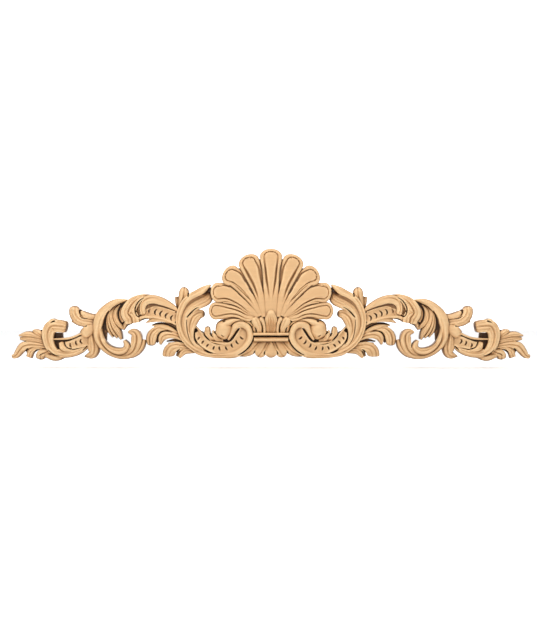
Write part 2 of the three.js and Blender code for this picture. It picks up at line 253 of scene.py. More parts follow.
# guide lines are in millimetres from the middle and from the bottom, for the right-hand half
# ground: the low board left between the carved parts
ground = [
    {"line": [[0, 30], [0, 150]], "width": [56, 110, 150, 100], "crest": [8], "centre": True},
    {"line": [[44, 118], [70, 108], [94, 100]], "width": [20, 24, 14], "crest": [9]},
    {"line": [[38, 64], [58, 69], [84, 68]], "width": [14, 12, 16], "crest": [9]},
    {"line": [[58, 58], [62, 34], [84, 27], [108, 28], [134, 42], [150, 66], [149, 108]],
     "width": [44, 44, 38, 34, 30, 28, 10], "crest": [8]},
    {"line": [[90, 50], [104, 40]], "width": [14, 16], "crest": [8]},
    {"line": [[106, 113], [130, 106], [146, 90]], "width": [12, 26, 20], "crest": [9]},
    {"line": [[152, 66], [190, 85], [230, 91], [262, 83], [284, 74]], "width": [24, 30, 34, 38, 34],
     "crest": [8]},
    {"line": [[284, 52], [291, 66], [291.5, 84]], "width": [12, 15, 12], "crest": [7]},
    {"line": [[292, 74], [292.6, 60], [292.4, 48], [291, 37]], "width": [12, 10, 7, 3], "crest": [7]},
    {"line": [[164, 57], [172, 61], [181, 64.2], [191, 66], [201, 65.5], [210, 63]],
     "width": [8, 5.4, 4.4, 4.4, 4.2, 2], "crest": [10]},
    {"line": [[155, 34.5], [170, 37], [184, 35]], "width": [8, 5.4, 2], "crest": [7.5]},
    {"line": [[318, 41], [345, 36], [374, 34]], "width": [16, 13, 12], "crest": [7]},
    {"line": [[166, 86], [180, 92.5], [193, 97], [204, 98.6], [212, 96], [216.6, 91], [218, 84]],
     "width": [4, 5, 6, 8, 9, 8, 5], "crest": [19]},
    {"line": [[318, 78], [330, 81], [338, 88.5]], "width": [8, 10, 7], "crest": [11]},
    {"line": [[107, 129], [106.5, 118], [113, 108]], "width": [3, 8, 16], "crest": [8.5]},
    {"line": [[108, 127], [119, 120], [134, 111]], "width": [4, 9, 10], "crest": [10]},
    {"line": [[160, 44], [184, 51], [204, 36]], "width": [10, 12, 10], "crest": [8]},
    {"line": [[266, 13], [248, 20], [240, 33]], "width": [16, 16, 8], "crest": [8]},
    {"line": [[308, 44], [345, 28], [384, 28], [406, 36]], "width": [30, 20, 30, 24], "crest": [7]},
    {"line": [[367, 45.5], [382, 44]], "width": [9, 12], "crest": [7.5]},
    {"line": [[302, 71], [320, 72], [334, 79]], "width": [22, 12, 8], "crest": [15]},
    {"line": [[396, 36], [414, 39.5], [432, 42]], "width": [20, 10, 5], "crest": [11]},
    {"line": [[394, 45], [400, 50.5], [406.5, 53.8]], "width": [16, 12, 3], "crest": [8]},
    {"line": [[404, 30], [420, 27], [431, 16]], "width": [14, 18, 8], "crest": [10]},
]
for stroke in ground:
    stroke["form"] = "flat"
    stroke["step"] = 4

# shell: the back, then lobes with a rim, a groove inside it and a raised panel; each overlaps the next
shellBack = [
    {"line": [[0, 72], [0, 162]], "width": [40, 110, 132, 130, 96], "crest": [26, 27, 25, 24, 24],
     "form": "flat", "step": 4, "centre": True},
    {"line": [[10, 120], [20, 177.5]], "width": [10, 7], "crest": [25], "form": "flat", "step": 6},
    {"line": [[30, 115], [55, 162]], "width": [12, 7], "crest": [25.2], "form": "flat", "step": 6},
    {"line": [[44, 105], [82, 137.5]], "width": [12, 7], "crest": [24.6], "form": "flat", "step": 6},
    {"line": [[50, 90], [97, 103.5]], "width": [12, 6], "crest": [23.4], "form": "flat", "step": 6},
    {"line": [[34, 74], [60, 78], [90, 76]], "width": [8, 8, 6], "crest": [22.6], "form": "flat",
     "step": 6},
]
shell = [
    {"line": [[0, 72], [0, 195.5]], "width": [19, 20.5, 22.5, 25, 27, 29.5, 37, 38],
     "crest": [30, 31.5, 32.3, 32.6, 33, 33, 33.2, 33], "band": [8, 8, 8, 6.5, 4, 3.8, 6, 6],
     "groove": [1.5, 2, 2.5, 3, 4.5, 3.8, 2.4, 2.2], "leftGroove": [1.5, 2, 2.5, 3, 4.5, 3.8, 2.4, 2.2],
     "leftRim": [1], "relief": [0, 0, 0.1, 0.6, 1, 1, 0.6, 0.5], "ends": (0, 14), "centre": True},
    {"line": [[12, 78], [14, 88], [18, 108.5], [23, 127], [30, 148], [34.5, 161.5], [38.8, 172],
              [44.2, 184.2]], "width": [9, 11.5, 15, 19, 24.5, 31, 36, 37],
     "crest": [29.8, 31, 31.3, 31.3, 31.5, 31.8, 32, 32], "band": [3, 3, 3, 3.5, 4, 4.5, 6, 6],
     "groove": [1, 1.5, 2.5, 4, 5.5, 5.5, 2.8, 2.2], "leftGroove": [1, 1, 1.5, 3, 5, 5, 2.6, 2.2],
     "leftRim": [0, 0, 0, 0, 0, 0.2, 1, 1], "relief": [0, 0, 0.15, 0.8, 1, 1, 0.65, 0.5],
     "ends": (0, 14)},
    {"line": [[18, 80], [27, 97], [35.5, 110.5], [44, 122], [54, 135], [62.4, 144.8], [71.4, 150],
              [82.2, 156.8]], "width": [9, 11, 14.5, 19, 23.5, 29, 35, 36],
     "crest": [29.4, 30.4, 30.5, 30.3, 30.3, 30.5, 30.6, 30.6], "band": [3, 3, 4, 4.5, 5, 5, 6, 6],
     "groove": [1, 1.5, 2.5, 3.5, 4, 3.5, 2.6, 2.2], "leftGroove": [1, 1, 2, 3.5, 4, 4, 2.6, 2.2],
     "leftRim": [0, 0, 0, 0, 0, 0.3, 1, 1], "relief": [0, 0, 0.3, 0.9, 1, 1, 0.65, 0.5],
     "ends": (0, 14)},
    {"line": [[22, 79], [40.5, 92.5], [50.5, 101.5], [60.5, 109], [71.5, 116], [80.5, 119.3],
              [92, 119.6], [105.6, 118.6]], "width": [10, 13, 16, 20, 25, 30.5, 33.5, 34],
     "crest": [29, 29.7, 29.6, 29.3, 29.1, 29, 29, 29], "band": [3, 3, 3.5, 4, 4.5, 5, 5.5, 5.5],
     "groove": [1, 1, 1.8, 2.2, 2.6, 2.4, 2.3, 2.2], "leftGroove": [1, 1, 2, 3, 3.5, 3, 2.4, 2.2],
     "leftRim": [0, 0, 0, 0, 0, 0.3, 1, 1], "relief": [0, 0.1, 0.5, 0.8, 0.9, 0.9, 0.6, 0.5],
     "ends": (0, 13)},
    {"line": [[30, 75], [40, 77], [48, 80], [56, 84], [67, 87], [80, 88], [96, 88], [109.2, 88]],
     "width": [10, 13, 15, 17.5, 21.5, 26.5, 29.5, 29.5],
     "crest": [28.4, 28.8, 28.6, 28.3, 28, 27.8, 27.7, 27.6], "band": [3, 3.5, 4, 4.5, 5, 5, 5, 5],
     "groove": [1, 1.5, 1.8, 2, 2.4, 2.4, 2.3, 2.2],
     "leftGroove": [1, 1.5, 2.2, 2.4, 2.6, 2.4, 2.3, 2.2], "leftRim": [1],
     "relief": [0, 0.3, 0.7, 0.8, 0.7, 0.6, 0.5, 0.5], "ends": (0, 13)},
]
for stroke in shell:
    stroke["form"] = "lobe"
    stroke["cut"] = 5
    stroke["lip"] = 2.6
    stroke["wider"] = 1.2
reeds = [
    {"line": [[33, 104], [46, 118.5], [60, 131], [76, 139.5]], "width": [2, 3, 3.4, 3],
     "crest": [27, 29, 29.6, 29]},
    {"line": [[40, 99], [52, 110.5], [66, 121], [80, 129], [90, 131.5]], "width": [2, 3, 3.4, 3.4, 2.6],
     "crest": [27, 28.6, 28.8, 28.4, 28]},
    {"line": [[48, 99], [60, 110], [72, 118.5], [86, 124.5]], "width": [1.6, 2.4, 2.8, 2],
     "crest": [27, 28.6, 28.8, 28.6]},
    {"line": [[48, 91], [60, 97.5], [72, 101.5], [84, 102.5]], "width": [1.6, 2.4, 2.6, 2],
     "crest": [26, 27.6, 27.8, 27]},
]
for stroke in reeds:
    stroke["crown"] = 0.08
shellFoot = [
    {"line": [[44, 70.5], [57, 72.4], [70, 70], [82, 62]], "width": [1.5, 5, 10.5, 17],
     "crest": [24, 26.5, 29, 31]},
    {"line": [[80, 73], [83, 56], [81, 38.5]], "width": [26, 29, 23], "crest": [29, 33, 29],
     "crown": 0.34, "ends": (13, 13), "sink": 0.1},
]

# clasp under the shell, its two bands and the leaves below them
clasp = [
    {"line": [[0, 48.5], [0, 91]], "width": [15, 16.5, 18, 20.5, 14, 9.5],
     "crest": [25, 27, 30.5, 34, 35, 34.5], "form": "flutes", "flutes": 5, "cut": 0.1, "crown": 0.08,
     "ends": (0, 7), "relief": [1, 1, 1, 0.6, 0.1, 0], "centre": True},
    {"line": [[11.5, 49], [11.3, 58], [13.5, 68], [18.5, 77]], "width": [5, 5, 6, 8.5],
     "crest": [25, 28, 31.5, 33.5], "ends": (0, 4), "crown": 0.15},
    {"line": [[20.5, 49.5], [21.5, 60], [26, 69], [31, 77.5]], "width": [8, 11, 15, 12],
     "crest": [24, 27.5, 31.5, 32.5], "veins": [(-0.25, 0.9, 1.4)], "ends": (0, 5), "crown": 0.15},
    {"line": [[28, 50], [28.5, 58], [31, 66], [36, 70]], "width": [7, 8, 7, 3],
     "crest": [20, 23, 24, 23]},
    {"line": [[32.5, 62], [37, 67], [45, 70]], "width": [3, 4, 2.5], "crest": [24, 25.5, 25]},
    {"line": [[-31, 47.9], [31, 47.9]], "width": [5], "crest": [29], "veins": [(0.45, 0.8, 1.0)],
     "centre": True},
    {"line": [[-30, 38.5], [30, 38.5]], "width": [7], "crest": [26], "veins": [(-0.3, 0.7, 1.0)],
     "centre": True},
    {"line": [[0, 36], [0, 6.5]], "width": [4, 10.5, 17, 21.5, 21], "crest": [18, 20, 21.5, 22, 21.5],
     "crown": 0.16, "ends": (0, 10), "centre": True},
    {"line": [[8, 37], [13, 26], [20, 14.5], [24, 8.5]], "width": [18, 21, 20.5, 17],
     "crest": [17, 18.5, 20, 19.5], "veins": [(0.2, 1.3, 1.5)], "ends": (0, 8), "crown": 0.16},
    {"line": [[20, 38], [28, 28], [36, 19.5], [46, 13.5], [58, 10.3]], "width": [15, 18, 17, 11, 3],
     "crest": [16, 18, 18.5, 18, 16], "veins": [(0.1, 1.2, 1.5)]},
]

# inner scroll round the knob: strap, inner edge, notched channel and its leaf tips
innerScroll = [
    {"line": [[75, 37.5], [70.5, 46], [66, 56], [59.5, 63.3], [50, 64.4], [41.5, 59.5], [37, 49],
              [38, 36.5], [47, 22.5], [62, 13], [84, 10.3], [106, 11], [124, 15], [138, 23]],
     "width": [3, 9, 11.5, 11.5, 10, 11, 12, 12.5, 11, 9, 8, 8, 9, 8],
     "crest": [23, 25, 27, 28, 28, 28, 28, 27.5, 26.5, 25, 24, 23, 22, 19], "crown": 0.14,
     "veins": [(0.05, 1.4, 1.6)], "relief": [0, 0, 0, 0, 0.2, 1, 1, 1]},
    {"line": [[53, 57.4], [58.8, 47.6], [64, 40.2], [69.6, 34], [78.5, 31], [90, 32], [101, 33.6]],
     "width": [3.6, 5.4, 6, 6.2, 6, 6, 3], "crest": [25, 25, 25, 24.5, 24, 22.5, 20]},
    {"line": [[100, 32.5], [112, 38.5], [122, 49], [131.5, 60.5]], "width": [3, 3.6, 3.6, 2.5],
     "crest": [21, 22.5, 22, 20]},
    {"line": [[50, 60], [50, 44.5], [57.5, 33.5], [68.5, 25.8], [82, 22.4], [96, 22], [110, 27.5],
              [122, 37], [131, 51]], "width": [10, 17, 18, 17, 16, 15.5, 15, 14.5, 9],
     "crest": [23.6, 23.6, 23.6, 23.2, 23, 22.6, 22, 20.6, 17.5], "form": "hollow", "cut": 0.07},
    {"line": [[84, 36], [94, 39], [99, 45.5], [102.5, 54.5]], "width": [5, 10, 9, 2.5],
     "crest": [20, 22, 22.5, 20], "veins": [(0.1, 1, 1.3)]},
    {"line": [[97, 36], [106, 40], [111, 48], [111.7, 61.5]], "width": [8, 10, 10.5, 9.5],
     "crest": [19, 21, 22, 22], "veins": [(0.25, 1.8, 2.4)], "ends": (0, 5)},
]

# big turned leaf on its stem, the leaflet inside it and the bud above
bigLeaf = [
    {"line": [[110, 12.5], [130, 19.5], [145, 30], [154.5, 42], [160, 55], [162.3, 68], [161.3, 80],
              [157.2, 92], [150.6, 103.6], [139.8, 113.3], [124.5, 121.2], [106.5, 133]],
     "width": [6, 8, 9, 9.5, 9, 8.8, 10, 10.8, 11, 11.5, 11.5, 3],
     "crest": [20, 21.5, 22.5, 23.5, 24, 25, 26, 27.5, 29, 30, 30, 27], "crown": 0.12,
     "veins": [(0.3, 1.6, 1.6)], "relief": [0.6, 1, 1, 1, 1, 0.9, 0.6, 0.3]},
    {"line": [[116, 17], [133, 27], [144.5, 40], [150.5, 54], [152.7, 67], [151, 78.5], [145, 89.5],
              [135.5, 98], [123.5, 104], [112.5, 110], [106.8, 121]],
     "width": [6, 10, 13, 13, 11, 12, 16, 19.5, 22, 21, 10],
     "crest": [19, 21.5, 22.5, 23.5, 24, 25, 26, 26, 25.5, 22, 13], "crown": 0.12,
     "veins": [(0.55, 2.4, 2.6), (0.1, 1.6, 2.0), (-0.4, 1.3, 1.8)],
     "relief": [0.2, 0.4, 0.5, 0.5, 0.8, 1, 1, 1]},
    {"line": [[116.4, 81.6], [126, 82.4], [134.4, 76.5], [139.5, 66], [141, 55], [140.5, 44],
              [136.5, 33.5], [128, 24.5], [116, 17.5]],
     "width": [12, 17, 19.5, 17.5, 14, 12, 9.5, 7, 3],
     "crest": [19, 23.5, 25.5, 25.5, 25, 24.2, 23, 21, 18],
     "veins": [(-0.3, 3.0, 2.8), (0.3, 1.4, 1.7), (-0.75, 1.0, 1.3)], "ends": (6, 0), "sink": 0.2,
     "crown": 0.14, "relief": [0.7, 1, 1, 1, 0.8, 0.5]},
    {"line": [[160.5, 84], [158.4, 98], [154.4, 111], [152, 129.7]], "width": [5, 11, 17, 15],
     "crest": [20, 22, 24.5, 24.5], "veins": [(-0.1, 1.6, 1.6)], "ends": (0, 9)},
    {"line": [[157, 19], [162.5, 16], [165.5, 8.6]], "width": [3, 6, 5], "crest": [7.5]},
    {"line": [[163, 92], [164.4, 103], [166, 112.6]], "width": [5, 8, 7.5], "crest": [17, 18.5, 16],
     "veins": [(0.1, 1.2, 1.4)]},
]

# leaf sprays right of the stem
sprays = [
    {"line": [[160, 46], [175, 56.3], [190, 60.5], [209, 62.6]], "width": [6, 7, 7.4, 2],
     "crest": [17, 19, 19, 16], "veins": [(0.1, 1.1, 1.3)]},
    {"line": [[180, 57], [197, 56.6], [206.5, 50], [210.4, 41], [210.8, 27.3]],
     "width": [4, 9, 15.5, 18, 13], "crest": [18, 20, 21.5, 21.5, 19],
     "veins": [(-0.3, 2.4, 2.0), (0.35, 1.2, 1.5)], "ends": (0, 4)},
    {"line": [[152, 38], [168, 45], [183, 46.3], [191, 42], [195, 29.5]], "width": [7, 10, 13, 13.5, 3],
     "crest": [19, 19, 20, 20, 16], "veins": [(0.0, 2.0, 1.8)]},
    {"line": [[146, 28], [160, 31.2], [181, 31.6]], "width": [7, 6, 2], "crest": [17, 17, 14],
     "veins": [(0, 1, 1.3)]},
    {"line": [[140, 23], [160, 25.8], [175, 22.4], [180, 15], [180.2, 7.8]],
     "width": [8, 11, 17.5, 21, 20.6], "crest": [17, 17.5, 18, 16],
     "veins": [(-0.45, 1.5, 1.6), (0.25, 1.0, 1.4)], "ends": (0, 3)},
    {"line": [[132, 18], [151, 18], [162, 6.8]], "width": [7, 11.5, 5], "crest": [17, 17.5, 14],
     "veins": [(0, 1.2, 1.4)]},
]

# middle scroll: top strap with its hook, notched channel, lower strap, cuff and fan of leaves
beamScroll = [
    {"line": [[163, 88], [172, 94.5], [182, 100.3], [193, 105], [205, 108.2], [216, 107],
              [223.5, 101.5], [226.2, 92], [223.6, 81]],
     "width": [4, 8, 11, 13.5, 14.5, 15, 14, 12, 11],
     "crest": [22, 24, 25.5, 26.5, 27.5, 27.5, 27, 26, 25], "crown": 0.12, "veins": [(-0.25, 1.8, 1.8)],
     "relief": [0, 0, 0.2, 0.6, 1, 1, 1], "ends": (0, 6)},
    {"line": [[168, 85.6], [181, 90.4], [193, 93.8], [204, 95.2], [211, 92.6], [215, 86.5],
              [215.5, 82]], "width": [4, 3.6, 3.4, 3.4, 3.2, 3, 2], "crest": [22.5]},
    {"line": [[166, 74], [178, 79.6], [190, 83.6], [203, 85.8], [221, 84]],
     "width": [18, 17, 17, 16, 12], "crest": [21.3], "form": "hollow", "cut": 0.07},
    {"line": [[167, 64.5], [180, 71], [195, 75.3], [211, 77.2], [223, 77.2], [234, 72.6]],
     "width": [4, 4.4, 4.4, 4.6, 8, 8], "crest": [23, 23, 23, 23, 22.5, 22]},
    {"line": [[176, 67.5], [192, 71.6], [206, 72.6], [220, 67.5]], "width": [2, 5.5, 8.5, 2],
     "crest": [20, 21, 21, 18], "veins": [(0.1, 1, 1.3)]},
    {"line": [[225, 108], [231.5, 100], [234, 89], [230.5, 80.5]], "width": [4, 7, 8, 7],
     "crest": [16, 17.5, 17.5, 17]},
    {"line": [[256, 99], [262, 90], [263.3, 79], [259.5, 69]], "width": [4, 8, 9, 8],
     "crest": [13, 14.5, 14.5, 14]},
    {"line": [[208, 114.8], [224, 112.3], [237.5, 105], [246, 94.5], [249.6, 84], [244.4, 75.4],
              [242.8, 66.4]], "width": [2.5, 8, 14, 20.5, 24, 26, 24.5],
     "crest": [25, 28, 30, 31.5, 32, 30.5, 28], "crown": 0.12,
     "veins": [(0.5, 1.3, 1.6), (0.02, 2.4, 2.0), (-0.48, 1.2, 1.6)]},
    {"line": [[246, 68], [254.5, 65.5], [258.5, 57]], "width": [6, 8, 3], "crest": [20, 20, 17]},
    {"line": [[265, 98], [273, 88], [274.3, 78], [271, 68], [263, 60], [257, 56.5]],
     "width": [4, 8, 9.5, 11, 9.5, 5], "crest": [16, 19, 20, 20, 19, 17], "veins": [(0.15, 1.6, 1.6)],
     "crown": 0.4},
    {"line": [[271, 98], [279.3, 87], [280.3, 74], [275.6, 61.5], [268.4, 50.5], [263, 38.5]],
     "width": [3, 6.5, 8.5, 11.5, 12, 5], "crest": [17, 20.5, 22, 22, 20.5, 17],
     "veins": [(0.1, 1.4, 1.5)], "crown": 0.42},
    {"line": [[275, 96], [283, 84.5], [284.5, 70], [281, 57.5], [275.5, 48], [270, 41.5]],
     "width": [3, 5, 6.4, 7.5, 8, 5], "crest": [17, 19.5, 20.5, 20.5, 19, 17], "crown": 0.45},
    {"line": [[279, 93], [286.5, 80], [288, 66], [285, 53.5], [278, 42.5]], "width": [3, 4, 4.4, 6, 4],
     "crest": [16, 17.5, 18, 18, 16], "crown": 0.45},
]

# ring scroll: outer strap, inner curl and the leaf that turns up at its left
ring = [
    {"line": [[252, 106.8], [265, 105.4], [277.5, 100.9], [288.8, 92], [298.4, 79.7], [303.4, 65.3],
              [304.7, 52], [304.2, 41], [299.5, 30.5], [291, 21], [280, 13.8], [266, 9], [252, 8.8],
              [240, 13]], "width": [2, 8, 11.2, 14, 16.6, 15.8, 13.5, 10.5, 9.4, 9, 8.8, 8.4, 8.5, 9],
     "crest": [22, 24.5, 26.5, 27.5, 28, 28.5, 28.5, 27.5, 26.5, 25.5, 24.5, 23.5, 22.5, 21],
     "crown": 0.14, "veins": [(0.5, 1.4, 1.7)], "relief": [0, 0.4, 1, 1, 0.6, 0]},
    {"line": [[298.2, 56], [296.8, 43], [291.6, 32], [282.6, 23.2], [270.5, 18.3], [259.8, 18.8],
              [253.2, 24], [253.7, 30.5], [257.5, 36.8]],
     "width": [2, 5.6, 7.4, 8.6, 11, 12.6, 12, 11, 5],
     "crest": [27, 28, 28, 28.5, 29, 29, 28.5, 27, 25], "veins": [(0.1, 1.6, 1.6)],
     "relief": [0, 0.5, 1, 1, 1, 0.7, 0.2]},
    {"line": [[262, 9.5], [250, 12.5], [241.8, 19], [237.6, 28], [235.8, 38], [237, 46.6], [241.8, 51],
              [250.4, 51.6]], "width": [4, 9.5, 14, 16.6, 18, 18, 14, 4],
     "crest": [24, 25, 26, 27, 27.5, 27, 26, 24], "crown": 0.14,
     "veins": [(-0.1, 2.4, 2.2), (0.5, 1.0, 1.4)], "relief": [0.4, 1, 1, 1, 1, 0.8, 0.5]},
    {"line": [[256, 7], [242, 11.2], [232, 19], [226.5, 27.8], [224.4, 38.2]],
     "width": [3, 8.5, 10.4, 10.6, 9], "crest": [21, 23, 24, 24, 21], "veins": [(0.15, 1.2, 1.5)]},
]

# leaves growing from the ring's right side
sideLeaves = [
    {"line": [[303, 64], [318, 67], [331, 69], [341, 75.5], [345.6, 84.5], [345.6, 97]],
     "width": [15, 16, 16.5, 18, 17.5, 16], "crest": [21, 23.5, 25, 25, 24.5, 22],
     "veins": [(0.35, 1.0, 1.6), (-0.25, 1.5, 2.0)], "ends": (0, 7)},
    {"line": [[322, 63.5], [336, 65.5], [350, 69.7]], "width": [4, 8, 2.5], "crest": [21, 22, 20]},
    {"line": [[303, 77], [315, 77.3], [325, 79.5], [334, 87.5]], "width": [14, 12, 13.5, 5],
     "crest": [22, 23.3, 23.5, 21], "ends": (0, 3)},
    {"line": [[305, 61], [315, 57], [325, 50.5], [332.5, 43.5]], "width": [17, 20, 19, 15],
     "crest": [22, 25.5, 27, 23], "crown": 0.22, "ends": (0, 7), "sink": 0.1},
    {"line": [[315, 50], [313, 36], [311.3, 23], [314, 12.8], [328, 8.8]],
     "width": [13, 17, 20.5, 14.5, 2], "crest": [22, 23.5, 24, 23, 18],
     "veins": [(0.25, 1.8, 1.8), (-0.4, 1.0, 1.4)]},
]

# outer scroll: top strap, notched channel, lower strap with a hook, and the big curling leaf
outerScroll = [
    {"line": [[332, 49], [341, 44.8], [352, 41], [364, 39.4], [382, 39]], "width": [5, 4, 3.8, 3.4, 3],
     "crest": [23, 24, 23, 22, 20]},
    {"line": [[321, 35], [333, 34], [343, 31], [352, 29], [361.5, 29.5]],
     "width": [15, 19, 17, 14.5, 9], "crest": [20.5], "form": "hollow", "cut": 0.07},
    {"line": [[322.5, 26.5], [331, 20.7], [342, 15.8], [354, 13.3], [368, 14], [380, 18.5]],
     "width": [4, 9, 11.5, 12, 13, 9], "crest": [21, 23, 24.3, 24.3, 23.6, 22],
     "veins": [(-0.2, 1.8, 1.7), (0.4, 1.0, 1.3)]},
    {"line": [[345, 19], [357, 19.4], [365.8, 24.3], [368.6, 34.5]], "width": [2.5, 6, 9.4, 7.6],
     "crest": [23, 25, 26, 23.5], "ends": (0, 3), "veins": [(0.1, 1.2, 1.4)]},
    {"line": [[350, 8.6], [366, 11], [379.5, 17.5], [387.5, 27], [390.8, 39], [390.4, 52],
              [384.2, 61.2], [372, 61.8], [358, 59.2]],
     "width": [2.5, 8, 10.5, 15.5, 18, 20.5, 21.5, 21.6, 19],
     "crest": [20, 22, 23.5, 25, 26.5, 28, 28.5, 28, 24.5], "crown": 0.16,
     "veins": [(0.0, 2.0, 2.2), (-0.5, 1.1, 1.8), (0.48, 0.9, 1.8)], "ends": (0, 4),
     "relief": [0, 0.5, 1, 1, 1, 1, 1, 1, 0.7]},
    {"line": [[377, 70.8], [383.5, 72.8], [390.5, 67.6]], "width": [4, 5, 3], "crest": [24, 24, 22]},
    {"line": [[362, 8], [377, 5.6], [396, 11]], "width": [3, 10, 8], "crest": [18, 20, 18]},
]

# spray of leaves at the end
endSpray = [
    {"line": [[398, 40], [405, 46.6], [411.5, 51], [420, 54]], "width": [5, 9, 10.5, 4.5],
     "crest": [16, 18.5, 19.5, 17], "veins": [(0.05, 1.2, 1.4)], "ends": (0, 3)},
    {"line": [[400, 38], [413, 44], [426, 47.4], [443.5, 45]], "width": [5, 7.8, 10.4, 3],
     "crest": [17, 19, 19.5, 15], "veins": [(0.1, 1, 1.3)]},
    {"line": [[395, 32.5], [410, 36.5], [425, 38.8], [441.5, 40]], "width": [9, 9, 10.4, 5],
     "crest": [17, 18.4, 18.6, 15], "veins": [(0, 1, 1.3)]},
    {"line": [[394, 26], [410, 28.6], [424, 29.4], [436, 26], [443, 17.8], [449.5, 10], [457, 8.2]],
     "width": [9, 9, 11.5, 14.8, 14.4, 11.5, 6], "crest": [18, 19, 20, 20.5, 20, 18.5, 15],
     "veins": [(0.05, 1.8, 1.7)], "ends": (0, 3)},
    {"line": [[402, 24], [414, 22.6], [422, 17.5], [426, 7.2]], "width": [6, 8.4, 10.6, 10.4],
     "crest": [17, 18, 18, 15], "veins": [(0.05, 1.4, 1.5)]},
    {"line": [[386, 19], [396, 16.5], [404.4, 12], [406, 3]], "width": [8, 12, 16, 15],
     "crest": [18, 19, 20, 18], "veins": [(0.1, 1.8, 1.8)], "ends": (0, 6)},
]

groups = {
    "ground": ground, "shellBack": shellBack, "shell": shell, "reeds": reeds, "shellFoot": shellFoot,
    "clasp": clasp, "innerScroll": innerScroll, "bigLeaf": bigLeaf, "sprays": sprays,
    "beamScroll": beamScroll, "ring": ring, "sideLeaves": sideLeaves, "outerScroll": outerScroll,
    "endSpray": endSpray,
}
carving = strokeBlock(ground[1], "carvedHeadpiece")
for name, strokes in groups.items():
    for stroke in strokes:
        if stroke.get("centre") or stroke is ground[1]:
            continue
        applyBoolean(carving, strokeBlock(stroke, name), "UNION")
    print("joined", name, len(carving.data.polygons), "faces")

